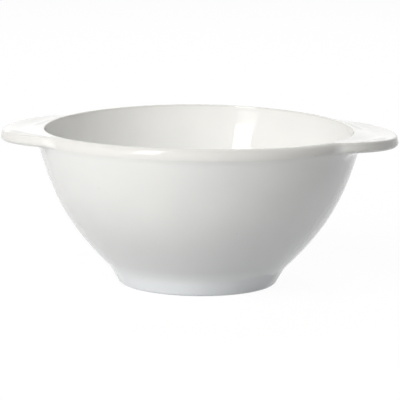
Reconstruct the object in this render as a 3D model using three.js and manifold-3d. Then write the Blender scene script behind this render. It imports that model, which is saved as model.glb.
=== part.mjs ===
// Lugged soup bowl in white porcelain: a turned body with a rolled rim, a foot ring and
// two lug handles, each formed by itself and joined with slip before firing.
// Millimetres, +Z up, lugs along X, origin in the middle of the foot's bearing plane.

import * as THREE from 'three';
import { mergeVertices } from 'three/addons/utils/BufferGeometryUtils.js';
import Module from 'manifold-3d';

// Foot ring
const FOOT_RADIUS = 33.2; // where the leaning side, drawn on, would meet the table
const FOOT_HEIGHT = 5.5; // table to the seat of the body
const FOOT_LEAN = 30; // degrees the outer side opens from upright
const FOOT_WIDTH = 5.5; // bearing ring before its edges are rounded
const FOOT_INNER_LEAN = 12; // degrees the inner side closes from upright
const FOOT_OUTER_ROUND = 2.4;
const FOOT_INNER_ROUND = 1.2;

// Body wall and floor
const NECK_RISE = 1.9; // seat to the soft corner between foot and wall
const NECK_ROUND = 8;
const WALL_LOW_LEAN = 46; // degrees from upright at the neck
const WALL_HIGH_LEAN = 14.4; // degrees from upright under the rim
const WALL_LOW_PULL = 27.7; // handle of the wall curve at the neck
const WALL_HIGH_PULL = 22.9; // handle of the wall curve under the rim
const WALL_THICKNESS = 4;
const FLOOR_THICKNESS = 4.2;
const FLOOR_SWEEP = 8.4; // height over which the inner wall sweeps into the floor

// Rolled rim
const RIM_RADIUS = 69.3;
const RIM_HEIGHT = 67; // crest at front and back
const RIM_ROLL = 2.1; // section radius of the roll
const RIM_OVERHANG = 0.5; // how far the roll stands out over the top end of the wall
const RIM_CREASE_ROUND = 2.5;
const RIM_LIP_ROUND = 1.8; // inner edge of the lip
const RIM_DIP = 1.5; // how far the rim sinks from the front towards each lug

// Lug handles
const LUG_LENGTH = 14.9; // beyond the rim
const LUG_END_RADIUS = 37;
const LUG_FLARE_RADIUS = 11;
const LUG_ROOT_TURN = 20; // degrees around the rim over which the outline runs into the wall
const LUG_THICKNESS = 4.6;
const LUG_EDGE_ROUND = 1.7;
const LUG_STEP = 0.2; // top below the rim's crest
const LUG_DROOP = 1.1; // tip below the root
const LUG_ROOT_ROUND = 2.2; // fillet under the lug, against the wall
const THUMB_DISH_OFFSET = 6; // middle of the hollow beyond the rim
const THUMB_DISH_LENGTH = 12;
const THUMB_DISH_WIDTH = 40;
const THUMB_DISH_DEPTH = 1;
const THUMB_BALL_HEIGHT = 5; // half the height of the ball that cuts the hollow

// Joint between two pieces
const SLIP_JOINT = 0.3;

// Facets
const TURN_STEPS = 64;
const WALL_STEPS = 9;
const ARC_STEPS = 4;
const ROLL_STEPS = 7;
const LUG_END_STEPS = 16;
const BALL_STEPS = 28;
const SEARCH_STEPS = 40;

const wasm = await Module();
wasm.setup();

const radians = THREE.MathUtils.degToRad;
const point = (radius, height) => new THREE.Vector2(radius, height);
const leaning = (degrees) => point(Math.sin(radians(degrees)), Math.cos(radians(degrees)));
const along = (start, direction, distance) => start.clone().addScaledVector(direction, distance);

// Points on an arc from one angle to another, both ends included.
function arcPoints(centre, radius, fromAngle, toAngle, steps) {
  const points = [];
  for (let step = 0; step <= steps; step += 1) {
    const angle = fromAngle + ((toAngle - fromAngle) * step) / steps;
    points.push(point(centre.x + radius * Math.cos(angle), centre.y + radius * Math.sin(angle)));
  }
  return points;
}

// An arc that rounds a corner between its two neighbours and stops short of passing either.
function roundedCorner(before, corner, after, wantedRadius) {
  const towardsBefore = before.clone().sub(corner).normalize();
  const towardsAfter = after.clone().sub(corner).normalize();
  const halfAngle = Math.acos(towardsBefore.dot(towardsAfter)) / 2;
  const room = Math.min(before.distanceTo(corner), after.distanceTo(corner));
  const radius = Math.min(wantedRadius, room * Math.tan(halfAngle));
  const middle = towardsBefore.clone().add(towardsAfter).normalize();
  const centre = along(corner, middle, radius / Math.sin(halfAngle));
  const setback = radius / Math.tan(halfAngle);
  const start = along(corner, towardsBefore, setback).sub(centre).angle();
  const end = along(corner, towardsAfter, setback).sub(centre).angle();
  const sweep = THREE.MathUtils.euclideanModulo(end - start + Math.PI, 2 * Math.PI) - Math.PI;
  return arcPoints(centre, radius, start, start + sweep, ARC_STEPS);
}

// A profile of radius and height, turned about the upright axis.
function turned(profile) {
  const geometry = new THREE.LatheGeometry(profile, TURN_STEPS);
  return geometry.rotateX(Math.PI / 2);
}

// A closed geometry as a solid that can be joined and cut.
function solid(geometry) {
  const bare = geometry.clone();
  bare.deleteAttribute('normal');
  bare.deleteAttribute('uv');
  const merged = mergeVertices(bare);
  const corners = merged.index.array;
  const triangles = [];
  for (let first = 0; first < corners.length; first += 3) {
    const [a, b, c] = corners.subarray(first, first + 3);
    if (a !== b && b !== c && c !== a) triangles.push(a, b, c);
  }
  const mesh = new wasm.Mesh({
    numProp: 3,
    vertProperties: new Float32Array(merged.attributes.position.array),
    triVerts: new Uint32Array(triangles),
  });
  return new wasm.Manifold(mesh);
}

function geometryOf(manifold) {
  const mesh = manifold.getMesh();
  const geometry = new THREE.BufferGeometry();
  geometry.setAttribute('position', new THREE.BufferAttribute(mesh.vertProperties, 3));
  geometry.setIndex(new THREE.BufferAttribute(mesh.triVerts, 1));
  geometry.computeVertexNormals();
  return geometry;
}

// Lowers each point of a geometry by what the given rule says.
function lowered(geometry, drop) {
  const position = geometry.attributes.position;
  for (let index = 0; index < position.count; index += 1) {
    const place = new THREE.Vector3().fromBufferAttribute(position, index);
    position.setZ(index, place.z - drop(place));
  }
  geometry.computeVertexNormals();
  return geometry;
}

// The rim is highest at front and back and sinks towards the lugs, less and less further down.
function rimDip(place) {
  const fromAxis = place.x ** 2 + place.y ** 2;
  const towardsLug = fromAxis > 0 ? place.x ** 2 / fromAxis : 0;
  const rise = Math.max(0, (place.z - FOOT_HEIGHT) / (RIM_HEIGHT - FOOT_HEIGHT));
  return RIM_DIP * towardsLug * rise ** 2;
}

// Main points of the section, as radius and height
const seat = point(FOOT_RADIUS + FOOT_HEIGHT * Math.tan(radians(FOOT_LEAN)), FOOT_HEIGHT);
const neck = along(seat, leaning(FOOT_LEAN), NECK_RISE / Math.cos(radians(FOOT_LEAN)));
const floorHeight = FOOT_HEIGHT + FLOOR_THICKNESS;
const rollCentre = point(RIM_RADIUS - RIM_ROLL, RIM_HEIGHT - RIM_ROLL);

// The crease under the roll touches both the roll and the top end of the wall.
const wallUp = leaning(WALL_HIGH_LEAN);
const wallOut = point(wallUp.y, -wallUp.x);
const creaseOut = RIM_ROLL - RIM_OVERHANG + RIM_CREASE_ROUND * wallOut.x;
const creaseDown = Math.sqrt((RIM_ROLL + RIM_CREASE_ROUND) ** 2 - creaseOut ** 2);
const creaseCentre = point(rollCentre.x + creaseOut, rollCentre.y - creaseDown);
const wallTop = along(creaseCentre, wallOut, -RIM_CREASE_ROUND);
const wall = new THREE.CubicBezierCurve(
  neck,
  along(neck, leaning(WALL_LOW_LEAN), WALL_LOW_PULL),
  along(wallTop, wallUp, -WALL_HIGH_PULL),
  wallTop,
);

// A point of the wall curve moved square to it, outwards where the distance is positive.
function wallPoint(share, distance) {
  const up = wall.getTangent(share);
  return along(wall.getPoint(share), point(up.y, -up.x), distance);
}

// The outside from the neck to the crest, moved outwards by an even clearance.
function outsideSection(clearance) {
  const points = [];
  for (let step = 1; step <= WALL_STEPS; step += 1) points.push(wallPoint(step / WALL_STEPS, clearance));
  const towardsRoll = rollCentre.clone().sub(creaseCentre).angle();
  const towardsWall = wallTop.clone().sub(creaseCentre).angle();
  const crease = arcPoints(
    creaseCentre, RIM_CREASE_ROUND - clearance, towardsWall, towardsRoll, ARC_STEPS,
  );
  const roll = arcPoints(
    rollCentre, RIM_ROLL + clearance, towardsRoll - Math.PI, Math.PI / 2, ROLL_STEPS,
  );
  points.push(...crease.slice(1), ...roll.slice(1));
  return points;
}

// The share of the wall curve at which the inside of the wall reaches a height.
function innerShareAt(height) {
  let low = 0;
  let high = 1;
  for (let step = 0; step < SEARCH_STEPS; step += 1) {
    const middle = (low + high) / 2;
    if (wallPoint(middle, -WALL_THICKNESS).y < height) low = middle;
    else high = middle;
  }
  return high;
}

// The inside from the crest down to the axis: rounded lip, even wall, floor sweep, flat floor.
function insideSection() {
  const innerTop = wallPoint(1, -WALL_THICKNESS);
  const lipCorner = along(innerTop, wallUp, (RIM_HEIGHT - innerTop.y) / wallUp.y);
  const points = roundedCorner(point(rollCentre.x, RIM_HEIGHT), lipCorner, innerTop, RIM_LIP_ROUND);
  const sweepShare = innerShareAt(floorHeight + FLOOR_SWEEP);
  for (let step = 0; step < WALL_STEPS; step += 1) {
    const share = THREE.MathUtils.lerp(1, sweepShare, step / WALL_STEPS);
    points.push(wallPoint(share, -WALL_THICKNESS));
  }
  const sweepTop = wallPoint(sweepShare, -WALL_THICKNESS);
  const sweepUp = wall.getTangent(sweepShare);
  const sweepLength = (sweepTop.y - floorHeight) / sweepUp.y;
  const sweepCorner = along(sweepTop, sweepUp, -sweepLength);
  const sweep = new THREE.QuadraticBezierCurve(
    sweepTop, sweepCorner, point(sweepCorner.x - sweepLength, floorHeight),
  );
  points.push(...sweep.getPoints(ARC_STEPS), point(0, floorHeight));
  return points;
}

function bowlBody() {
  const profile = [
    point(0, FOOT_HEIGHT),
    seat,
    ...roundedCorner(seat, neck, wall.getPoint(1 / WALL_STEPS), NECK_ROUND),
    ...outsideSection(0),
    ...insideSection(),
  ];
  return lowered(turned(profile), rimDip);
}

function footRing() {
  const top = FOOT_HEIGHT - SLIP_JOINT;
  const outerFoot = point(FOOT_RADIUS, 0);
  const innerFoot = point(FOOT_RADIUS - FOOT_WIDTH, 0);
  const outerTop = along(outerFoot, leaning(FOOT_LEAN), top / Math.cos(radians(FOOT_LEAN)));
  const innerTop = along(innerFoot, leaning(-FOOT_INNER_LEAN), top / Math.cos(radians(FOOT_INNER_LEAN)));
  const profile = [
    innerTop,
    ...roundedCorner(innerTop, innerFoot, outerFoot, FOOT_INNER_ROUND),
    ...roundedCorner(innerFoot, outerFoot, outerTop, FOOT_OUTER_ROUND),
    outerTop,
    innerTop,
  ];
  return turned(profile);
}

// The lug seen from above: a round end that flares through hollow curves into the rim circle,
// with an outline that then runs into the wall and closes inside the body.
function lugOutline() {
  const endCentre = RIM_RADIUS + LUG_LENGTH - LUG_END_RADIUS;
  const flareFromAxis = RIM_RADIUS + LUG_FLARE_RADIUS;
  const flareFromEnd = LUG_END_RADIUS + LUG_FLARE_RADIUS;
  const flareX = (flareFromAxis ** 2 - flareFromEnd ** 2 + endCentre ** 2) / (2 * endCentre);
  const flareY = Math.sqrt(flareFromAxis ** 2 - flareX ** 2);
  const rimAngle = Math.atan2(flareY, flareX);
  const endAngle = Math.atan2(flareY, flareX - endCentre);
  const rootAngle = rimAngle + radians(LUG_ROOT_TURN);
  const rootX = (RIM_RADIUS - WALL_THICKNESS) * Math.cos(rootAngle);
  const rootY = (RIM_RADIUS - WALL_THICKNESS) * Math.sin(rootAngle);
  const frontFlare = arcPoints(
    point(flareX, -flareY), LUG_FLARE_RADIUS, Math.PI - rimAngle, Math.PI - endAngle, ARC_STEPS,
  );
  const roundEnd = arcPoints(point(endCentre, 0), LUG_END_RADIUS, -endAngle, endAngle, LUG_END_STEPS);
  const backFlare = arcPoints(
    point(flareX, flareY), LUG_FLARE_RADIUS, Math.PI + endAngle, Math.PI + rimAngle, ARC_STEPS,
  );
  return new THREE.Shape([
    point(rootX, -rootY),
    ...frontFlare,
    ...roundEnd.slice(1),
    ...backFlare.slice(1),
    point(rootX, rootY),
  ]);
}

// A thin plate with round edges that droops towards its tip.
function lugPlate(topHeight) {
  const plate = new THREE.ExtrudeGeometry(lugOutline(), {
    depth: LUG_THICKNESS - 2 * LUG_EDGE_ROUND,
    bevelThickness: LUG_EDGE_ROUND,
    bevelSize: LUG_EDGE_ROUND,
    bevelOffset: -LUG_EDGE_ROUND,
    bevelSegments: ARC_STEPS,
  });
  plate.translate(0, 0, topHeight - LUG_THICKNESS + LUG_EDGE_ROUND);
  return lowered(plate, (place) => {
    const beyondRim = Math.max(0, Math.hypot(place.x, place.y) - RIM_RADIUS);
    return LUG_DROOP * (beyondRim / LUG_LENGTH) ** 2;
  });
}

// A hollow-sided ring that fills the corner between the lug's underside and the wall.
function lugRootRing(undersideHeight) {
  const wallAtLug = along(wallTop, wallUp, (undersideHeight - wallTop.y) / wallUp.y);
  const underLug = point(wallAtLug.x + LUG_LENGTH, undersideHeight);
  const downWall = along(wallAtLug, wallUp, -LUG_LENGTH);
  const fillet = roundedCorner(downWall, wallAtLug, underLug, LUG_ROOT_ROUND);
  const [onWall] = fillet;
  const onLug = fillet.at(-1);
  const insideWall = wallAtLug.x - WALL_THICKNESS;
  const insideLug = undersideHeight + LUG_THICKNESS / 2;
  const profile = [
    ...fillet,
    point(onLug.x, insideLug),
    point(insideWall, insideLug),
    point(insideWall, onWall.y),
    onWall,
  ];
  return turned(profile);
}

// A shallow hollow for the thumb, cut by the lower cap of a squashed ball.
function thumbDish(topHeight) {
  const centreHeight = THUMB_BALL_HEIGHT - THUMB_DISH_DEPTH;
  const capShare = Math.sqrt(1 - (centreHeight / THUMB_BALL_HEIGHT) ** 2);
  const ball = new THREE.SphereGeometry(1, BALL_STEPS, BALL_STEPS);
  ball.rotateX(Math.PI / 2);
  ball.scale(THUMB_DISH_LENGTH / 2 / capShare, THUMB_DISH_WIDTH / 2 / capShare, THUMB_BALL_HEIGHT);
  return ball.translate(RIM_RADIUS + THUMB_DISH_OFFSET, 0, topHeight + centreHeight);
}

function lugHandle() {
  const topHeight = RIM_HEIGHT - LUG_STEP;
  const undersideHeight = topHeight - LUG_THICKNESS;
  const column = new THREE.ExtrudeGeometry(lugOutline(), {
    depth: RIM_HEIGHT,
    bevelEnabled: false,
  });
  const bodyWithSlip = turned([
    point(0, neck.y),
    wallPoint(0, SLIP_JOINT),
    ...outsideSection(SLIP_JOINT),
    point(0, RIM_HEIGHT + SLIP_JOINT),
  ]);
  const root = solid(lugRootRing(undersideHeight)).intersect(solid(column));
  const lug = solid(lugPlate(topHeight)).add(root).subtract(solid(thumbDish(topHeight)));
  return lowered(geometryOf(lug.subtract(solid(bodyWithSlip))), rimDip);
}

function porcelain(color, roughness) {
  return new THREE.MeshStandardMaterial({ color, roughness, metalness: 0 });
}

function piece(name, geometry, material) {
  const mesh = new THREE.Mesh(geometry, material);
  mesh.name = name;
  return mesh;
}

const bowl = new THREE.Group();
bowl.add(piece('bowl_body', bowlBody(), porcelain(0xf3f1ed, 0.12)));
bowl.add(piece('foot_ring', footRing(), porcelain(0xeeece8, 0.2)));
const lug = lugHandle();
const rightLug = piece('right_lug_handle', lug, porcelain(0xf4f2ef, 0.12));
const leftLug = piece('left_lug_handle', lug, porcelain(0xf4f2ef, 0.12));
leftLug.rotation.z = Math.PI;
bowl.add(rightLug, leftLug);

export default bowl;
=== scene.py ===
# %% [markdown]
# # A lugged soup bowl in white porcelain
# The bowl is thrown and turned, gets a foot ring below and a flat lug at each side of its rim, and is
# then glazed all over, so that one glossy skin runs across every joint. This lesson follows the same
# order: draw the section, spin it, pull the lugs out of the rim, cut the skin into its four pieces of
# clay, glaze them and light them. All sizes are metres, in the frame of the solid model.

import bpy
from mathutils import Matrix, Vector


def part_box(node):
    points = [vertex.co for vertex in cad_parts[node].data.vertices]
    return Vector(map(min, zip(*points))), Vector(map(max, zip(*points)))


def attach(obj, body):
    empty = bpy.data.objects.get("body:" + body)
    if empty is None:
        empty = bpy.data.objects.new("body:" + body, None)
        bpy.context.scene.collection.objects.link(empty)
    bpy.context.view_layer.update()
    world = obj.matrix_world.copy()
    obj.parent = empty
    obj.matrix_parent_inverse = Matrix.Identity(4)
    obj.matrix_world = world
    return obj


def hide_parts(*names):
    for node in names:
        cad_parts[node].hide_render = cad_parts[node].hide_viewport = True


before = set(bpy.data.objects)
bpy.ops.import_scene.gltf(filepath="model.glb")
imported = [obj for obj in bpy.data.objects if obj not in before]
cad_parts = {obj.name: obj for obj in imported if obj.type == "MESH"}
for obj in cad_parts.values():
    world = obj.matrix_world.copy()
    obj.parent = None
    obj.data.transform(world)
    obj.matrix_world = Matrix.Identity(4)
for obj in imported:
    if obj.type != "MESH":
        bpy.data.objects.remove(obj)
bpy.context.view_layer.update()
print("pieces of clay:", ", ".join(sorted(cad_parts)))

# %% [markdown]
# ## Tools
# Shapes are made with bmesh, Blender's mesh workbench. Numpy is used once, to measure how the skin bends.
# Standard is the view that shows a colour as it is set, which suits a plain white product.

# %% Tools for the lesson
import math

import bmesh
import bpy
import numpy as np
from mathutils import Matrix, Quaternion, Vector
from mathutils.geometry import interpolate_bezier

mm = 0.001
scene = bpy.context.scene
scene.view_settings.view_transform = "Standard"
print("view:", scene.view_settings.view_transform)

# %% [markdown]
# ## Sizes
# The sizes that tie the bowl to its solid model are read from the boxes of the solids: how high and wide
# the rim is, how far the lugs reach and where the foot ring ends. The rest are a potter's measures. The
# glazed rim is drawn a little slimmer than the solid one, which suits the photograph.

# %% Sizes read from the frame
RIM_SLIM = 0.6 * mm

body_low, body_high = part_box("bowl_body")
_, lug_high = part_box("right_lug_handle")
rim_radius = body_high.y - RIM_SLIM
rim_height = body_high.z
seat_height = body_low.z
lug_tip = lug_high.x
print(f"rim {2 * rim_radius / mm:.1f} mm across and {rim_height / mm:.1f} mm high")
print(f"tip to tip {2 * lug_tip / mm:.1f} mm")

# %% [markdown]
# ## The section
# A bowl is round, so one half section says nearly everything about it. It is drawn as points of radius
# and height, stretch by stretch: arcs for the rounded edges and smooth curves for the wall. Each point
# becomes a ring of the finished skin, so the points lie close where the clay turns sharply and wide where
# it runs on.

# %% Drawing tools for the section
def point(radius, height):
    return Vector((radius, height))


def leaning(degrees):
    """The direction of a line that leans outwards from upright."""
    return point(math.sin(math.radians(degrees)), math.cos(math.radians(degrees)))


def arc(centre, radius, start, end, steps):
    """Points on an arc between two angles in radians, both ends included."""
    angles = [start + (end - start) * step / steps for step in range(steps + 1)]
    return [centre + radius * point(math.cos(angle), math.sin(angle)) for angle in angles]


def rounded(before, corner, after, radius, steps):
    """The arc that rounds a corner between two straight lines."""
    back = (before - corner).normalized()
    on = (after - corner).normalized()
    half = back.angle(on) / 2
    centre = corner + (back + on).normalized() * radius / math.sin(half)
    setback = radius / math.tan(half)
    first = corner + back * setback - centre
    last = corner + on * setback - centre
    start = math.atan2(first.y, first.x)
    turn = math.remainder(math.atan2(last.y, last.x) - start, 2 * math.pi)
    return arc(centre, radius, start, start + turn, steps)


def blend(low, high, share):
    return low + (high - low) * share


def ease(share):
    """Goes from 0 to 1 with a soft start and a soft end."""
    share = min(1, max(0, share))
    return share * share * (3 - 2 * share)


print("half way, eased:", ease(0.5))

# %% [markdown]
# ## Foot ring
# The bowl stands on a ring, which lifts the hot floor off the table and leaves a shallow recess below.
# Its outer side leans out to meet the wall. A torus would have the wrong section, so the straight sides
# are drawn first and their corners rounded.

# %% Foot ring, from the ceiling of its recess to the seat of the body
FOOT_RADIUS = 33.2 * mm
FOOT_WIDTH = 5.5 * mm
FOOT_LEAN = 30
FOOT_INNER_LEAN = 12
FOOT_OUTER_ROUND = 2.4 * mm
FOOT_OUTER_RINGS = 10
FOOT_INNER_ROUND = 1.2 * mm
FOOT_INNER_RINGS = 6
FOOT_SIDE_SHARES = (0.55, 0.75)
RECESS_ROUND = 1.6 * mm
RECESS_EDGE_RINGS = 6
RECESS_RINGS = 4

outer_foot = point(FOOT_RADIUS, 0)
inner_foot = point(FOOT_RADIUS - FOOT_WIDTH, 0)
recess_corner = inner_foot + leaning(-FOOT_INNER_LEAN) * seat_height / leaning(FOOT_INNER_LEAN).y
recess_centre = point(0, seat_height)
seat = outer_foot + leaning(FOOT_LEAN) * seat_height / leaning(FOOT_LEAN).y
recess_edge = rounded(recess_centre, recess_corner, inner_foot, RECESS_ROUND, RECESS_EDGE_RINGS)
recess_ceiling = [recess_centre.lerp(recess_edge[0], step / RECESS_RINGS) for step in range(RECESS_RINGS)]
foot_section = [
    *recess_edge,
    *rounded(recess_corner, inner_foot, outer_foot, FOOT_INNER_ROUND, FOOT_INNER_RINGS),
    *rounded(inner_foot, outer_foot, seat, FOOT_OUTER_ROUND, FOOT_OUTER_RINGS),
    *[outer_foot.lerp(seat, share) for share in FOOT_SIDE_SHARES],
]
print(f"foot ring: {len(foot_section)} rings, {2 * seat.x / mm:.1f} mm across at its top")

# %% [markdown]
# ## Wall and rim
# The wall leaves the foot at a soft neck, swells, straightens and runs up into the rim. It could be drawn
# as a row of arcs, but a Bezier curve needs only the lean and the pull at each end. The rim is a soft
# band: a tall, narrow oval above and a rounder turn below, which fades into the wall without a crease.

# %% Wall curve
NECK_RISE = 1.9 * mm
NECK_ROUND = 15 * mm
NECK_RINGS = 6
WALL_LOW_LEAN = 46
WALL_HIGH_LEAN = 14.4
WALL_LOW_PULL = 27.7 * mm
WALL_HIGH_PULL = 22.9 * mm
WALL_THICKNESS = 4 * mm
WALL_TOP_DROP = 3.72 * mm
RIM_ROLL = 2.7 * mm
RIM_BAND_RISE = 3.9 * mm
WALL_STEPS = 400

neck = seat + leaning(FOOT_LEAN) * NECK_RISE / leaning(FOOT_LEAN).y
wall_up = leaning(WALL_HIGH_LEAN)
crest_radius = rim_radius - RIM_ROLL
wall_top = point(rim_radius, rim_height - WALL_TOP_DROP)
wall = interpolate_bezier(
    neck,
    neck + leaning(WALL_LOW_LEAN) * WALL_LOW_PULL,
    wall_top - wall_up * WALL_HIGH_PULL,
    wall_top,
    WALL_STEPS + 1,
)


def wall_at(height, depth=0):
    """The wall's point at a height, and its outward direction; depth moves it into the clay."""
    index = next(i for i in range(1, WALL_STEPS + 1) if wall[i].y >= height or i == WALL_STEPS)
    low = wall[index - 1]
    up = (wall[index] - low).normalized()
    out = point(up.y, -up.x)
    return low + up * (height - low.y) / up.y - out * depth, out


print(f"wall from {neck.x / mm:.1f} mm out at the neck to {wall_top.x / mm:.1f} mm under the rim")

# %% [markdown]
# ## Lug outline
# Seen from above, a lug is one wide arc that flares through a hollow curve into the circle of the rim.
# The skin is made of spokes that run out from the axis, so the outline is asked for as a distance along a
# spoke. An inset draws all three arcs in together, which gives the rounded edge the same section all
# along.

# %% Outline of a lug, along a spoke
LUG_END_RADIUS = 37 * mm
LUG_FLARE_RADIUS = 11 * mm

lug_length = lug_tip - rim_radius
end_centre = point(lug_tip - LUG_END_RADIUS, 0)
flare_from_axis = rim_radius + LUG_FLARE_RADIUS
flare_from_end = LUG_END_RADIUS + LUG_FLARE_RADIUS
flare_x = (flare_from_axis**2 - flare_from_end**2 + end_centre.x**2) / (2 * end_centre.x)
flare_centre = point(flare_x, math.sqrt(flare_from_axis**2 - flare_x**2))
rim_angle = math.atan2(flare_centre.y, flare_centre.x)


def outline(angle, inset):
    """How far a spoke runs before it meets the outline drawn in by the inset."""
    spoke = point(math.cos(angle), math.sin(angle))
    end_radius = LUG_END_RADIUS - inset
    flare_radius = LUG_FLARE_RADIUS + inset
    touch = end_centre + (flare_centre - end_centre).normalized() * end_radius
    if angle <= math.atan2(touch.y, touch.x):
        middle = end_centre.dot(spoke)
        return middle + math.sqrt(middle**2 - end_centre.length_squared + end_radius**2)
    if angle <= rim_angle:
        middle = flare_centre.dot(spoke)
        return middle - math.sqrt(middle**2 - flare_centre.length_squared + flare_radius**2)
    return rim_radius - inset


def from_outline(place):
    """Distance of a place on the lug, seen from above, to the outline."""
    to_end = LUG_END_RADIUS - (place - end_centre).length
    to_flare = (place - flare_centre).length - LUG_FLARE_RADIUS
    return min(to_end, to_flare)


print(f"each lug reaches {lug_length / mm:.1f} mm beyond the rim")
print(f"it flares out of the rim at {math.degrees(rim_angle):.1f} degrees")

# %% [markdown]
# ## One rule for rim and lug
# The lug is not stuck on: its edge is the rim's band, drawn outwards. So one rule gives the section of
# both. At an angle where there is no lug it gives the plain band; towards the middle of the lug it grows
# a dished top, a crisp upper edge, a softer lower edge, a flat underside and a hollow root against the
# wall.

# %% Top of the lug
LUG_FULL_ANGLE = 27
LUG_STEP = 0.2 * mm
LUG_STEP_RUN = 2.5 * mm
LUG_DROOP = 1.1 * mm
LUG_DROOP_START = 3.5 * mm
DISH_DEPTH = 1.1 * mm
DISH_EDGE = 10 * mm
DISH_ROOT = 8 * mm
QUARTER_STEPS = 160
LUG_SPOKES = 60

spoke_angle = math.pi / 2 / QUARTER_STEPS
lug_end_angle = LUG_SPOKES * spoke_angle


def lug_share(angle):
    """1 on the lug, 0 on the plain rim, and soft between them."""
    full = math.radians(LUG_FULL_ANGLE)
    return 1 - ease((angle - full) / (lug_end_angle - full))


def droop(radius):
    """How far the lug hangs at a distance from the axis."""
    beyond = max(0, radius - rim_radius - LUG_DROOP_START)
    return LUG_DROOP * (beyond / (lug_length - LUG_DROOP_START)) ** 2


def lug_top(angle, radius):
    """Height of the lug's dished top."""
    from_crest = radius - crest_radius
    place = radius * point(math.cos(angle), math.sin(angle))
    step = LUG_STEP * lug_share(angle) * ease(from_crest / LUG_STEP_RUN)
    dish = DISH_DEPTH * ease(from_outline(place) / DISH_EDGE) * ease(from_crest / DISH_ROOT)
    return rim_height - step - dish - droop(radius)


print(f"the tip hangs {(rim_height - lug_top(0, lug_tip)) / mm:.1f} mm below the crest")

# %% [markdown]
# ## Hollow root
# Under the lug the potter smooths a hollow into the corner with a finger. It is an arc that touches the
# wall on one side and the lug on the other. How high it sits has no short formula, so the height is found
# by halving: each round keeps the half that holds the answer.

# %% Hollow root between wall and lug
SHOULDER_HEIGHT = 54 * mm
HALVINGS = 30


def root_centre(edge, low_round, root_round):
    """Middle of the hollow, its wall direction, and the tilt of the line to the low edge."""
    reach = low_round + root_round
    low = SHOULDER_HEIGHT
    high = edge.y
    for _ in range(HALVINGS):
        height = (low + high) / 2
        on_wall, out = wall_at(height)
        centre = on_wall + out * root_round
        aside = min(reach, max(0, centre.x - edge.x))
        if centre.y < edge.y - math.sqrt(reach**2 - aside**2):
            low = height
        else:
            high = height
    return centre, out, math.asin(aside / reach)


print(f"the root is searched for above {SHOULDER_HEIGHT / mm:.0f} mm")

# %% [markdown]
# ## Section at an angle
# The section runs from the shoulder of the wall through the root, the underside, the lower edge, the side
# and the upper edge to the crest. Every angle has the same count of rings, so that neighbours can be
# joined.

# %% Lower part of the section at an angle
RIM_LOW_ROUND = 3 * mm
RIM_FADE_ROUND = 14 * mm
LUG_THICKNESS = 4.8 * mm
LUG_LOW_ROUND = 1.6 * mm
LUG_ROOT_ROUND = 6.5 * mm
SHOULDER_RINGS = 8
ROOT_RINGS = 10
UNDER_RINGS = 10
LOW_RINGS = 8


def lower_section(angle, share):
    """From the shoulder of the wall to the end of the lower edge."""
    low_round = blend(RIM_LOW_ROUND, LUG_LOW_ROUND, share)
    root_round = blend(RIM_FADE_ROUND, LUG_ROOT_ROUND, share)
    thickness = blend(RIM_BAND_RISE + RIM_LOW_ROUND, LUG_THICKNESS, share)
    under = rim_height - LUG_STEP * share - thickness
    edge = point(outline(angle, low_round), under + low_round)
    centre, out, tilt = root_centre(edge, low_round, root_round)
    root = arc(centre, root_round, math.atan2(-out.y, -out.x), math.pi / 2 + tilt, ROOT_RINGS)
    shares = [step / SHOULDER_RINGS for step in range(SHOULDER_RINGS)]
    shoulder = [wall_at(blend(SHOULDER_HEIGHT, root[0].y, s))[0] for s in shares]

    middle = edge.y - droop(outline(angle, low_round))
    angles = [blend(tilt - math.pi / 2, 0, step / LOW_RINGS) for step in range(LOW_RINGS + 1)]
    low_edge = [
        point(outline(angle, low_round * (1 - math.cos(a))), middle + low_round * math.sin(a))
        for a in angles
    ]
    along = point(math.cos(tilt), math.sin(tilt))
    pull = along * ((low_edge[0] - root[-1]).length / 3)
    underside = interpolate_bezier(
        root[-1], root[-1] + pull, low_edge[0] - pull, low_edge[0], UNDER_RINGS + 1
    )
    return [*shoulder, *root, *underside[1:-1], *low_edge]


print("rings up to the side:", len(lower_section(0, 1)))

# %% [markdown]
# ## Upper edge and top
# The side leans in a little towards the upper edge, which is crisp on the lug and broad on the rim. From
# there the top runs in to the crest, with the rings closer together at both ends.

# %% Upper part of the section, and the whole of it
LUG_TOP_ROUND = 1 * mm
LUG_EDGE_LEAN = 0.5 * mm
BAND_RINGS = 3
EDGE_RINGS = 7
TOP_RINGS = 14


def upper_section(angle, share):
    """The upper edge, and the top from there in to the crest."""
    top_round = blend(RIM_ROLL, LUG_TOP_ROUND, share)
    top_rise = blend(RIM_BAND_RISE, LUG_TOP_ROUND, share)
    lean = LUG_EDGE_LEAN * share
    edge_radius = outline(angle, lean + top_round)
    edge_height = lug_top(angle, edge_radius)
    angles = [blend(0, math.pi / 2, step / EDGE_RINGS) for step in range(EDGE_RINGS + 1)]
    insets = [lean + top_round * (1 - math.cos(a)) for a in angles]
    heights = [edge_height - top_rise * (1 - math.sin(a)) for a in angles]
    top_edge = [point(outline(angle, inset), height) for inset, height in zip(insets, heights)]
    shares = [ease(step / TOP_RINGS) for step in range(1, TOP_RINGS + 1)]
    radii = [blend(edge_radius, crest_radius, s) for s in shares]
    return [*top_edge, *[point(radius, lug_top(angle, radius)) for radius in radii]]


def rim_section(angle):
    """The whole section at an angle, with the side of the lug or rim between its two edges."""
    share = lug_share(angle)
    lower = lower_section(angle, share)
    upper = upper_section(angle, share)
    side = [lower[-1].lerp(upper[0], step / BAND_RINGS) for step in range(1, BAND_RINGS)]
    return [*lower, *side, *upper]


plain_rim = rim_section(math.pi / 2)
lug_reach = max(place.x for place in rim_section(0))
print(f"rim and lug: {len(plain_rim)} rings; the lug ends {lug_reach / mm:.1f} mm out")

# %% [markdown]
# ## Inside
# The inner wall keeps an even distance from the outer one, as a turner gauges it between two fingers. It
# starts at a small lip and sweeps into the flat floor without a corner that would be hard to wash.

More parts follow.
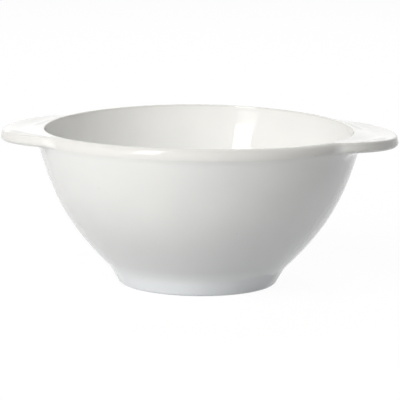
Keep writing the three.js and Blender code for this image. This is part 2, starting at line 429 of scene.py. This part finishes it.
# %% Lip, inner wall and floor
LIP_FLAT = 0.2 * mm
LIP_PULL = 0.55 * mm
LIP_RISE = 1.9 * mm
LIP_RINGS = 12
FLOOR_THICKNESS = 4.2 * mm
FLOOR_SWEEP = 8.4 * mm
SWEEP_PULL = 2 / 3
INNER_RINGS = 30
SWEEP_RINGS = 10
FLOOR_RINGS = 6

floor_height = seat_height + FLOOR_THICKNESS
inner_wall = [wall_at(place.y, WALL_THICKNESS) for place in wall]
sweep_index = next(i for i in range(WALL_STEPS) if inner_wall[i][0].y >= floor_height + FLOOR_SWEEP)
sweep_top, sweep_out = inner_wall[sweep_index]
sweep_up = point(-sweep_out.y, sweep_out.x)
sweep_length = (sweep_top.y - floor_height) / sweep_up.y
sweep_corner = sweep_top - sweep_up * sweep_length
sweep_end = sweep_corner - point(sweep_length, 0)
sweep = interpolate_bezier(
    sweep_top,
    sweep_top.lerp(sweep_corner, SWEEP_PULL),
    sweep_end.lerp(sweep_corner, SWEEP_PULL),
    sweep_end,
    SWEEP_RINGS + 1,
)
inner_top = inner_wall[WALL_STEPS][0]
lip_start = point(crest_radius - LIP_FLAT, rim_height)
lip = interpolate_bezier(
    lip_start,
    lip_start - point(LIP_PULL, 0),
    inner_top + wall_up * LIP_RISE,
    inner_top,
    LIP_RINGS + 1,
)
inner_steps = [round(blend(WALL_STEPS, sweep_index, step / INNER_RINGS)) for step in range(INNER_RINGS)]
floor_middle = point(0, floor_height)
inside_section = [
    *lip[:-1],
    *[inner_wall[step][0] for step in inner_steps],
    *sweep,
    *[sweep_end.lerp(floor_middle, step / FLOOR_RINGS) for step in range(1, FLOOR_RINGS + 1)],
]
print(f"inside: {len(inside_section)} rings, floor {floor_height / mm:.1f} mm above the table")

# %% [markdown]
# ## The whole section
# The stretches are now put end to end. The numbers of a few rings are kept, because they are where the
# pieces of clay will be cut apart later.

# %% The whole section, ring by ring
WALL_RINGS = 30

above_neck = neck + leaning(WALL_LOW_LEAN) * NECK_ROUND
neck_arc = rounded(seat, neck, above_neck, NECK_ROUND, NECK_RINGS)
wall_steps = [round(WALL_STEPS * ring / WALL_RINGS) for ring in range(1, WALL_RINGS)]
wall_section = [wall[step] for step in wall_steps if wall[step].y < SHOULDER_HEIGHT]
section = [*recess_ceiling, *foot_section]
first_foot_ring = len(recess_ceiling)
last_foot_ring = len(section)
section += [seat, *neck_arc, *wall_section]
first_rim_ring = len(section)
root_ring = first_rim_ring + SHOULDER_RINGS
section += plain_rim
crest_ring = len(section) - 1
section += inside_section
print(f"section: {len(section)} rings from the middle of the recess to the middle of the floor")

# %% [markdown]
# ## Spin a quarter
# The bowl is its own mirror image both ways, so a quarter is enough. Spinning the section gives a grid of
# rings and spokes, and each point remembers the number of its ring.

# %% Spin a quarter
quarter = bmesh.new()
ring_of = quarter.verts.layers.int.new("ring")
part_of = quarter.faces.layers.int.new("part")

chain = [quarter.verts.new((place.x, 0, place.y)) for place in section]
for ring, vertex in enumerate(chain):
    vertex[ring_of] = ring
for low, high in zip(chain, chain[1:]):
    quarter.edges.new((low, high))
bmesh.ops.spin(
    quarter,
    geom=quarter.verts[:] + quarter.edges[:],
    cent=(0, 0, 0),
    axis=(0, 0, 1),
    angle=math.pi / 2,
    steps=QUARTER_STEPS,
)
print(f"quarter: {len(quarter.verts)} points")

# %% [markdown]
# ## Which clay is which
# While the grid is still regular, it is easy to say which piece of clay a face belongs to: by its ring
# for the foot, and by its ring and angle for the lug. The mirrors below carry the answer along.

# %% Say which piece of clay each face belongs to
BODY = 0
FOOT = 1
LUG = 2

for face in quarter.faces:
    ring = min(vertex[ring_of] for vertex in face.verts)
    middle = face.calc_center_median()
    if first_foot_ring <= ring < last_foot_ring:
        face[part_of] = FOOT
    elif root_ring <= ring < crest_ring and math.atan2(middle.y, middle.x) < lug_end_angle:
        face[part_of] = LUG
print("lug faces in the quarter:", sum(face[part_of] == LUG for face in quarter.faces))

# %% [markdown]
# ## Pull the lug
# A lug could be modelled apart and joined to the bowl by a boolean, but that leaves a ragged seam in the
# gloss. Here the spokes in front of the lug are moved to their own section instead, the way a potter
# pulls the wet rim out, and the grid stays clean.

# %% Pull the lug out of the rim
spoke_sections = [rim_section(spoke * spoke_angle) for spoke in range(LUG_SPOKES + 1)]
pulled = 0
for vertex in quarter.verts:
    if not first_rim_ring <= vertex[ring_of] <= crest_ring:
        continue
    spoke = round(math.atan2(vertex.co.y, vertex.co.x) / spoke_angle)
    if spoke <= LUG_SPOKES:
        place = spoke_sections[spoke][vertex[ring_of] - first_rim_ring]
        angle = spoke * spoke_angle
        vertex.co = (place.x * math.cos(angle), place.x * math.sin(angle), place.y)
        pulled += 1
print(f"pulled: {pulled} points on {LUG_SPOKES + 1} spokes")

# %% [markdown]
# ## The dip of the rim
# The weight of the lugs pulls the rim down a little at both sides while the clay is soft, so the crest
# lies highest at front and back. The dip fades out towards the foot. Two mirrors then make the bowl
# whole, and points that lie on one another, as at the axis, are merged.

# %% Dip the rim, then mirror the quarter into a whole bowl
RIM_DIP = 1.35 * mm
MERGE = 0.002 * mm

for vertex in quarter.verts:
    across = vertex.co.x**2 + vertex.co.y**2
    if vertex.co.z > seat_height and across > MERGE**2:
        rise = (vertex.co.z - seat_height) / (rim_height - seat_height)
        vertex.co.z -= RIM_DIP * vertex.co.x**2 / across * rise**2

skin = quarter
for axis in ("Y", "X"):
    geometry = skin.verts[:] + skin.edges[:] + skin.faces[:]
    bmesh.ops.mirror(skin, geom=geometry, matrix=Matrix(), merge_dist=MERGE, axis=axis)
bmesh.ops.remove_doubles(skin, verts=skin.verts[:], dist=MERGE)
bmesh.ops.recalc_face_normals(skin, faces=skin.faces[:])
skin.normal_update()
open_edges = sum(edge.is_boundary for edge in skin.edges)
print(f"skin: {len(skin.verts)} points, {len(skin.faces)} faces, {open_edges} open edges")

# %% [markdown]
# ## Where the glaze runs thin and where it pools
# Molten glaze draws back from sharp edges and gathers in hollows. How sharply the skin turns is measured
# along every edge, averaged at each point and evened out over the neighbours. The finish reads it later
# as one number per point: above zero on an edge, below zero in a hollow.

# %% Measure how sharply the skin turns
TURN_LENGTH = 1.5 * mm
FLOW_PASSES = 14
FLOW_SHARE = 0.5

turn_of = skin.verts.layers.float.new("turn")
normal_of = skin.verts.layers.float_vector.new("skin_normal")
skin.verts.index_update()
places = np.array([vertex.co for vertex in skin.verts])
normals = np.array([vertex.normal for vertex in skin.verts])
ends = np.array([[vertex.index for vertex in edge.verts] for edge in skin.edges])
one = ends[:, 0]
two = ends[:, 1]
steps = places[two] - places[one]
lengths = np.linalg.norm(steps, axis=1)
bends = ((normals[two] - normals[one]) * steps).sum(1) / lengths


def at_points(on_one, on_two):
    """Adds up at each point what its edges bring to it."""
    return np.bincount(one, on_one, len(places)) + np.bincount(two, on_two, len(places))


each = np.ones(len(ends))
edge_counts = at_points(each, each)
turn = at_points(bends, bends) / at_points(lengths, lengths) * TURN_LENGTH
for _ in range(FLOW_PASSES):
    turn = (1 - FLOW_SHARE) * turn + FLOW_SHARE * at_points(turn[two], turn[one]) / edge_counts
for vertex, value in zip(skin.verts, turn):
    vertex[turn_of] = value
    vertex[normal_of] = vertex.normal
print(f"turn of the skin: from {turn.min():.2f} in the hollows to {turn.max():.2f} on the edges")

# %% [markdown]
# ## Four pieces of clay
# The skin is now cut along the joints where the potter luted the pieces together. A piece is a copy of
# the skin with the rest deleted. Each cut is closed by joint faces inside the clay, so that every piece
# is a closed body, as the real pieces were before they were joined.

# %% Cut a piece out of the skin and close it
def open_rims(piece):
    return [edge for edge in piece.edges if edge.is_boundary]


def on_lug_end(edge):
    """True where an edge lies on the last spoke of a lug."""
    angles = [math.atan2(abs(vertex.co.y), abs(vertex.co.x)) for vertex in edge.verts]
    near = spoke_angle / 4
    return all(abs(angle - lug_end_angle) < near for angle in angles)


def cut_piece(keeps):
    """A copy of the skin with only the faces that the rule keeps, closed at its joints."""
    piece = skin.copy()
    part = piece.faces.layers.int["part"]
    dropped = [face for face in piece.faces if not keeps(face[part], face.calc_center_median().x)]
    bmesh.ops.delete(piece, geom=dropped, context="FACES")
    joint = piece.faces.layers.int.new("joint")
    old_faces = set(piece.faces)
    rims = open_rims(piece)
    seat_rims = [edge for edge in rims if edge.verts[0].co.z < neck.y]
    lug_rims = [edge for edge in rims if edge.verts[0].co.z >= neck.y and not on_lug_end(edge)]
    right_rims = [edge for edge in lug_rims if edge.verts[0].co.x > 0]
    left_rims = [edge for edge in lug_rims if edge.verts[0].co.x < 0]
    for loops in (seat_rims, right_rims, left_rims):
        if loops:
            bmesh.ops.bridge_loops(piece, edges=loops)
    bmesh.ops.holes_fill(piece, edges=open_rims(piece))
    for face in piece.faces:
        face.smooth = True
        if face not in old_faces:
            face[joint] = 1
    bmesh.ops.recalc_face_normals(piece, faces=piece.faces[:])
    print(f"cut: {len(piece.faces)} faces, {len(open_rims(piece))} open edges")
    return piece


bowl_clay = cut_piece(lambda part, x: part == BODY)
foot_clay = cut_piece(lambda part, x: part == FOOT)
right_clay = cut_piece(lambda part, x: part == LUG and x > 0)
left_clay = cut_piece(lambda part, x: part == LUG and x < 0)

# %% [markdown]
# ## No seam in the gloss
# The glaze covers the joints on the real bowl. A cut piece would be shaded by its own faces alone, and
# the gloss would break at every joint. So each piece keeps the normals of the uncut skin, and only the
# hidden joint faces have their own.

# %% Turn the cut pieces into objects
ml = 1e-6


def as_object(name, piece):
    """Turns a cut piece into an object whose skin keeps the normals of the uncut bowl."""
    mesh = bpy.data.meshes.new(name)
    piece.verts.index_update()
    piece.to_mesh(mesh)
    joint = [face[piece.faces.layers.int["joint"]] for face in piece.faces]
    layer = piece.verts.layers.float_vector["skin_normal"]
    skin_normals = [vertex[layer].copy() for vertex in piece.verts]
    corner_normals = []
    for polygon in mesh.polygons:
        for index in polygon.vertices:
            corner_normals.append(polygon.normal.copy() if joint[polygon.index] else skin_normals[index])
    mesh.normals_split_custom_set(corner_normals)
    for helper in ("skin_normal", "ring", "part", "joint"):
        mesh.attributes.remove(mesh.attributes[helper])
    thing = bpy.data.objects.new(name, mesh)
    scene.collection.objects.link(thing)
    print(f"{name}: {piece.calc_volume() / ml:.1f} ml of clay")
    return thing


bowl = as_object("porcelain_bowl", bowl_clay)
foot = as_object("porcelain_foot_ring", foot_clay)
right_lug = as_object("porcelain_lug_right", right_clay)
left_lug = as_object("porcelain_lug_left", left_clay)

# %% [markdown]
# ## Pieces and solids
# Each glazed piece rides on the one body of the bowl and is shown in place of the plain solid of the same
# clay.

# %% Each piece stands for its solid
for piece, node, slot in (
    (bowl, "bowl_body", "glazed_porcelain"),
    (foot, "foot_ring", "foot_porcelain"),
    (right_lug, "right_lug_handle", "glazed_porcelain"),
    (left_lug, "left_lug_handle", "glazed_porcelain"),
):
    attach(piece, "root")
    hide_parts(node)
    print(f"{piece.name} stands for {node}")

# %% [markdown]
# ## Shader maths as plain expressions
# A finish is a small network of nodes. To keep it readable, a thin wrapper around a socket turns Python's
# own operators into Math nodes, so that a mask is written as a sum or a product.

# %% A wrapper for sockets
class Value:
    """A number, colour or vector that comes out of a node."""

    def __init__(self, finish, socket):
        self.finish = finish
        self.socket = socket

    def maths(self, operation, first, second):
        return self.finish.node("Math", {"operation": operation}, {0: first, 1: second})

    def __add__(self, other):
        return self.maths("ADD", self, other)

    def __radd__(self, other):
        return self.maths("ADD", other, self)

    def __sub__(self, other):
        return self.maths("SUBTRACT", self, other)

    def __rsub__(self, other):
        return self.maths("SUBTRACT", other, self)

    def __mul__(self, other):
        return self.maths("MULTIPLY", self, other)

    def __rmul__(self, other):
        return self.maths("MULTIPLY", other, self)

    def between(self, low, high):
        """0 below low, 1 above high and a soft step between them."""
        settings = {"interpolation_type": "SMOOTHSTEP"}
        return self.finish.node("MapRange", settings, {"Value": self, "From Min": low, "From Max": high})


print("operators for shader maths: + - * and between")

# %% [markdown]
# ## A network of nodes
# Every node is made by one method, which takes its type, its settings and what goes into its sockets. A
# Mix node has sockets for every kind of data, so the places of its colours are given by number.

# %% A network of nodes
MIX_LOW = 6
MIX_HIGH = 7
MIX_COLOUR = 2


class Finish:
    """A node network and the one method that adds nodes to it."""

    def __init__(self, tree):
        self.tree = tree
        tree.nodes.clear()

    def node(self, kind, settings, sockets, output=0):
        made = self.tree.nodes.new("ShaderNode" + kind)
        for name, setting in settings.items():
            setattr(made, name, setting)
        for name, given in sockets.items():
            socket = made.inputs[name]
            if isinstance(given, Value):
                self.tree.links.new(given.socket, socket)
            else:
                socket.default_value = given
        return Value(self, made.outputs[output]) if made.outputs else None

    def noise(self, place, scale, detail):
        return self.node("TexNoise", {}, {"Vector": place, "Scale": scale, "Detail": detail})

    def mixed(self, low, high, share):
        """One colour going over into another."""
        sockets = {"Factor": share, MIX_LOW: low, MIX_HIGH: high}
        return self.node("Mix", {"data_type": "RGBA"}, sockets, MIX_COLOUR)


def new_finish(name):
    """A material and its empty network."""
    material = bpy.data.materials.new(name)
    material.use_nodes = True
    return material, Finish(material.node_tree)


print("colours are mixed from sockets", MIX_LOW, "and", MIX_HIGH)

# %% [markdown]
# ## Specks
# A few grains of iron in the clay burn through the glaze as tiny brown dots. Cells of a Voronoi pattern
# are drawn by lot, and a dot is set in the middle of those that are chosen.

# %% Specks in the glaze
SPECK_SCALE = 160.0
SPECK_CHOICE = (0.93, 0.95)
SPECK_CORE = 0.02
SPECK_RIM = 0.045


def specks(finish, place):
    """1 in the middle of a speck, in a few cells chosen by lot."""
    cells = {"Vector": place, "Scale": SPECK_SCALE}
    distance = finish.node("TexVoronoi", {}, cells, "Distance")
    lot = finish.node("TexVoronoi", {}, cells, "Color")
    chosen = finish.node("SeparateColor", {}, {"Color": lot}, "Red").between(*SPECK_CHOICE)
    return (1 - distance.between(SPECK_CORE, SPECK_RIM)) * chosen


print(f"cells for specks: about {1 / SPECK_SCALE / mm:.1f} mm apart")

# %% [markdown]
# ## Glaze colour
# Clear glaze over white porcelain is a white body seen through a thin, glossy coat. It is never quite
# even. It shows the warmer clay where it draws thin over an edge and is greyer where it pools. Painted
# shade greys the lower wall, which faces down and away from the lamps, and painted light, standing in
# for light bounced up from the white floor, makes the foot cool and bright. A painted image could hold
# these tones, but masks worked out from height and turn follow the form by themselves.

# %% Where each tone of the glaze lies
PORCELAIN = (0.88, 0.875, 0.853, 1)
CLOUDED_GLAZE = (0.855, 0.854, 0.835, 1)
CLOUD_SCALE = 28.0
CLOUD_DETAIL = 3.0
CLOUD_FROM = 0.35
CLOUD_FULL = 0.7
THIN_GLAZE = (0.8, 0.788, 0.757, 1)
THIN_FROM = 0.03
THIN_FULL = 0.16
POOLED_GLAZE = (0.76, 0.78, 0.77, 1)
POOLED_FROM = 0.05
POOLED_FULL = 0.5
POOLED_STRENGTH = 0.7
# Painted shade: a greyer band on the lower wall, which faces down and away from the lamps.
PAINTED_WALL_SHADE = (0.8, 0.803, 0.788, 1)
WALL_SHADE_START = 7 * mm
WALL_SHADE_FULL_FROM = 12 * mm
WALL_SHADE_FULL_TO = 16 * mm
WALL_SHADE_END = 44 * mm
# Painted light: the foot and the bottom of the wall are made brighter and cooler, standing in for light
# bounced up from the white floor.
PAINTED_FLOOR_BOUNCE = (0.92, 0.935, 0.947, 1)
FLOOR_BOUNCE_FROM = 13 * mm
FLOOR_BOUNCE_FULL = 3 * mm
SPECK = (0.35, 0.3, 0.25, 1)
SPECK_STRENGTH = 0.5


def glaze_tone(finish, height, turn, cloud, thin, speck):
    """The colour of the glaze, with painted shade on the lower wall and painted floor light on the foot.
    """
    pooled = (turn * -1).between(POOLED_FROM, POOLED_FULL)
    # Painted shade on the lower wall: it fades in above the foot and out again towards the rim.
    above_foot = height.between(WALL_SHADE_START, WALL_SHADE_FULL_FROM)
    wall_shade = above_foot * (1 - height.between(WALL_SHADE_FULL_TO, WALL_SHADE_END))
    tone = finish.mixed(PORCELAIN, CLOUDED_GLAZE, cloud.between(CLOUD_FROM, CLOUD_FULL))
    tone = finish.mixed(tone, PAINTED_WALL_SHADE, wall_shade)
    tone = finish.mixed(tone, THIN_GLAZE, thin)
    # Painted light from the floor: full below 3 mm and gone by 13 mm.
    tone = finish.mixed(tone, PAINTED_FLOOR_BOUNCE, 1 - height.between(FLOOR_BOUNCE_FULL, FLOOR_BOUNCE_FROM))
    tone = finish.mixed(tone, POOLED_GLAZE, pooled * POOLED_STRENGTH)
    return finish.mixed(tone, SPECK, speck * SPECK_STRENGTH)


print(f"the glaze is greyest between {WALL_SHADE_FULL_FROM / mm:.0f} and {WALL_SHADE_FULL_TO / mm:.0f} mm")

# %% [markdown]
# ## Glaze surface
# The glaze ripples by a few microns, which bends the edges of a reflection a little, and its gloss
# changes faintly from place to place. A Bump node is enough for relief this shallow.

# %% Glaze finish
GLAZE_ROUGH = 0.03
CLOUD_ROUGH = 0.03
FINE_ROUGH = 0.015
THIN_ROUGH = 0.02
RIPPLE_SCALE = 110.0
FINE_SCALE = 700.0
SURFACE_DETAIL = 2.0
FINE_RELIEF = 0.12
SPECK_RELIEF = 0.5
RELIEF_STRENGTH = 0.25
RELIEF_HEIGHT = 0.03 * mm
GLAZE_IOR = 1.5


def glaze_parts(finish):
    """Place, height, colour, roughness and relief of the glaze."""
    place = finish.node("TexCoord", {}, {}, "Object")
    height = finish.node("SeparateXYZ", {}, {"Vector": place}, "Z")
    turn = finish.node("Attribute", {"attribute_name": "turn"}, {}, "Fac")
    thin = turn.between(THIN_FROM, THIN_FULL)
    cloud = finish.noise(place, CLOUD_SCALE, CLOUD_DETAIL)
    speck = specks(finish, place)
    tone = glaze_tone(finish, height, turn, cloud, thin, speck)
    fine = finish.noise(place, FINE_SCALE, SURFACE_DETAIL)
    ripple = finish.noise(place, RIPPLE_SCALE, SURFACE_DETAIL)
    roughness = GLAZE_ROUGH + cloud * CLOUD_ROUGH + fine * FINE_ROUGH + thin * THIN_ROUGH
    relief = ripple + fine * FINE_RELIEF - speck * SPECK_RELIEF
    return place, height, tone, roughness, relief


def fire(finish, tone, roughness, relief):
    """Puts colour, roughness and relief together on one glossy shader."""
    bump = {"Height": relief, "Strength": RELIEF_STRENGTH, "Distance": RELIEF_HEIGHT}
    normal = finish.node("Bump", {}, bump)
    sockets = {"Base Color": tone, "Roughness": roughness, "Normal": normal, "IOR": GLAZE_IOR}
    surface = finish.node("BsdfPrincipled", {}, sockets)
    finish.node("OutputMaterial", {}, {"Surface": surface})


white_glaze, glaze = new_finish("white_glaze")
_, _, glaze_colour, glaze_roughness, glaze_relief = glaze_parts(glaze)
fire(glaze, glaze_colour, glaze_roughness, glaze_relief)
for piece in (bowl, right_lug, left_lug):
    piece.data.materials.append(white_glaze)
print(f"{white_glaze.name}: {len(white_glaze.node_tree.nodes)} nodes")

# %% [markdown]
# ## Bare foot
# A glazed foot would weld itself to the kiln shelf, so the potter wipes the bearing ring clean before
# firing. What is left is dry, slightly cream biscuit with a fine grain and grey scuffs. It is the same
# glaze finish with the bare ring mixed in by height, so that the sides of the foot match the wall.

# %% Foot finish
BISCUIT = (0.74, 0.70, 0.63, 1)
BARE_FULL = 0.1 * mm
BARE_END = 0.2 * mm
BISCUIT_ROUGH = 0.62
GRAIN_SCALE = 1800.0
GRAIN_DETAIL = 3.0
GRAIN_RELIEF = 3
SCUFF = (0.5, 0.48, 0.46, 1)
SCUFF_SCALE = 240.0
SCUFF_FROM = 0.55
SCUFF_FULL = 0.75
SCUFF_STRENGTH = 0.4

wiped_foot, wiped = new_finish("wiped_foot")
place, height, tone, roughness, relief = glaze_parts(wiped)
bare = 1 - height.between(BARE_FULL, BARE_END)
scuff = wiped.noise(place, SCUFF_SCALE, SURFACE_DETAIL).between(SCUFF_FROM, SCUFF_FULL) * bare
tone = wiped.mixed(tone, BISCUIT, bare)
tone = wiped.mixed(tone, SCUFF, scuff * SCUFF_STRENGTH)
grain = wiped.noise(place, GRAIN_SCALE, GRAIN_DETAIL)
roughness = roughness * (1 - bare) + bare * BISCUIT_ROUGH
relief = relief * (1 - bare) + grain * bare * GRAIN_RELIEF
fire(wiped, tone, roughness, relief)
foot.data.materials.append(wiped_foot)
print(f"{wiped_foot.name}: {len(wiped_foot.node_tree.nodes)} nodes")

# %% [markdown]
# ## Floor
# The bowl stands on a plain white floor. To the camera and in the gloss it is a bright white that keeps a
# little of the bowl's shadow. To all other rays it is a plain pale matt, so that it does not flood the
# bowl with light from below. Seen from below it is clear.

# %% Floor
FLOOR_SIDE = 6.0
FLOOR_COLOUR = (0.66, 0.675, 0.69, 1)
FLOOR_SEEN_COLOUR = (0.98, 0.98, 0.98, 1)
FLOOR_GLOW = 0.93
FLOOR_WHITE = 1.02
WHITE = (1, 1, 1, 1)


def seen_ray(finish):
    """1 for rays that come from the camera, from gloss or through glass."""
    seen = finish.node("LightPath", {}, {}, "Is Camera Ray")
    for kind in ("Is Glossy Ray", "Is Transmission Ray"):
        seen = seen.maths("MAXIMUM", seen, finish.node("LightPath", {}, {}, kind))
    return seen


white_floor, sweep_finish = new_finish("white_sweep")
seen = seen_ray(sweep_finish)
floor_tone = sweep_finish.mixed(FLOOR_COLOUR, FLOOR_SEEN_COLOUR, seen)
matt = sweep_finish.node("BsdfDiffuse", {}, {"Color": floor_tone})
glow = sweep_finish.node("Emission", {}, {"Color": WHITE, "Strength": FLOOR_WHITE})
shown = sweep_finish.node("MixShader", {}, {0: seen * FLOOR_GLOW, 1: matt, 2: glow})
below = sweep_finish.node("NewGeometry", {}, {}, "Backfacing")
clear = sweep_finish.node("BsdfTransparent", {}, {})
floor_surface = sweep_finish.node("MixShader", {}, {0: below, 1: shown, 2: clear})
sweep_finish.node("OutputMaterial", {}, {"Surface": floor_surface})

ground = bmesh.new()
bmesh.ops.create_grid(ground, x_segments=1, y_segments=1, size=FLOOR_SIDE / 2)
floor_mesh = bpy.data.meshes.new("floor")
ground.to_mesh(floor_mesh)
floor = bpy.data.objects.new("floor", floor_mesh)
scene.collection.objects.link(floor)
floor.data.materials.append(white_floor)
print(f"floor: {FLOOR_SIDE:.0f} m wide")

# %% [markdown]
# ## Lamps
# One tall softbox at the left, rolled a little, gives the bright marks on the rim and the inner wall; a
# dim skirt below it fades one end of the inner mark. Wide fills at the left, front, right and back even
# out the light on wall and lugs. They are hidden from the gloss, or their edges would show as more marks.
# A dim strip behind does show, and draws a sheen on the lugs.

# %% Lamps
LIGHT_AIM = Vector((0, 0, 40 * mm))
PLAIN_TINT = (1, 1, 1)
WARM_TINT = (1, 0.992, 0.978)
KEY_ROLL = 6


def softbox(name, direction, distance, size, brightness, tint=PLAIN_TINT, in_gloss=True, roll=0):
    """A soft rectangular lamp that faces the bowl.

    The direction is azimuth and elevation; azimuth 0 is the camera's side, and left is below zero.
    """
    turn = math.radians(direction[0])
    lift = math.radians(direction[1])
    away = Vector((math.sin(turn) * math.cos(lift), -math.cos(turn) * math.cos(lift), math.sin(lift)))
    lamp = bpy.data.lights.new(name, "AREA")
    lamp.shape = "RECTANGLE"
    lamp.size = size[0]
    lamp.size_y = size[1]
    lamp.energy = brightness * math.pi * size[0] * size[1]
    lamp.color = tint
    thing = bpy.data.objects.new(name, lamp)
    facing = away.to_track_quat("Z", "Y") @ Quaternion((0, 0, 1), math.radians(roll))
    thing.matrix_world = Matrix.LocRotScale(LIGHT_AIM + away * distance, facing, None)
    thing.visible_glossy = in_gloss
    scene.collection.objects.link(thing)
    print(f"{name}: {lamp.energy:.2f} W")


softbox("key_softbox", (-37, 42.9), 0.9, (0.23, 0.63), 6.9, WARM_TINT, roll=KEY_ROLL)
softbox("key_skirt", (-37, 21), 0.9, (0.24, 0.08), 2.2, WARM_TINT)
softbox("left_fill", (-45, 19), 1.2, (1.0, 0.5), 3.4, WARM_TINT, in_gloss=False)
softbox("front_fill", (0, 35), 1.5, (1.2, 0.8), 1.92, WARM_TINT, in_gloss=False)
softbox("right_fill", (75, 40), 1.3, (1.0, 0.6), 0.4, in_gloss=False)
softbox("back_fill", (180, 45), 1.2, (1.2, 0.8), 2.3, in_gloss=False)
softbox("back_strip", (180, 15), 1.5, (1.2, 0.5), 0.32)

# %% [markdown]
# ## Light from around
# The room itself gives next to no light, because light from all sides would flatten the form. Where the
# camera or the gloss looks past the floor, it is white.

# %% Light from around
ROOM_LEVEL = 0.01

studio = bpy.data.worlds.new("studio")
studio.use_nodes = True
scene.world = studio
room = Finish(studio.node_tree)
strength = blend(ROOM_LEVEL, 1, seen_ray(room))
background = room.node("Background", {}, {"Color": WHITE, "Strength": strength})
room.node("OutputWorld", {}, {"Surface": background})
print(f"room light: {ROOM_LEVEL}")

# %% [markdown]
# ## Camera
# A long lens from a low height, turned a little so that the right lug comes nearer, and tilted by three
# quarters of a degree. The three directions of the camera are worked out one by one, which shows what
# each angle does.

# %% Camera
CAMERA_DISTANCE = 1194 * mm
CAMERA_RISE = 9.73
CAMERA_TURN = 3
CAMERA_ROLL = 0.75
CAMERA_LENS = 253
AIM_SIDE = 0.7 * mm
AIM_HEIGHT = 35.05 * mm

rise = math.radians(CAMERA_RISE)
roll = math.radians(CAMERA_ROLL)
round_axis = Matrix.Rotation(math.radians(CAMERA_TURN), 3, "Z")
aim = round_axis @ Vector((AIM_SIDE, 0, AIM_HEIGHT))
back = round_axis @ Vector((0, -math.cos(rise), math.sin(rise)))
level_right = Vector((0, 0, 1)).cross(back).normalized()
level_up = back.cross(level_right)
right = level_right * math.cos(roll) + level_up * math.sin(roll)
up = level_up * math.cos(roll) - level_right * math.sin(roll)
lens = bpy.data.cameras.new("camera")
lens.lens = CAMERA_LENS
camera = bpy.data.objects.new("camera", lens)
turned = Matrix((right, up, back)).transposed().to_4x4()
camera.matrix_world = Matrix.Translation(aim + back * CAMERA_DISTANCE) @ turned
scene.collection.objects.link(camera)
scene.camera = camera
print(f"camera: {CAMERA_LENS} mm lens, {CAMERA_DISTANCE:.2f} m away")
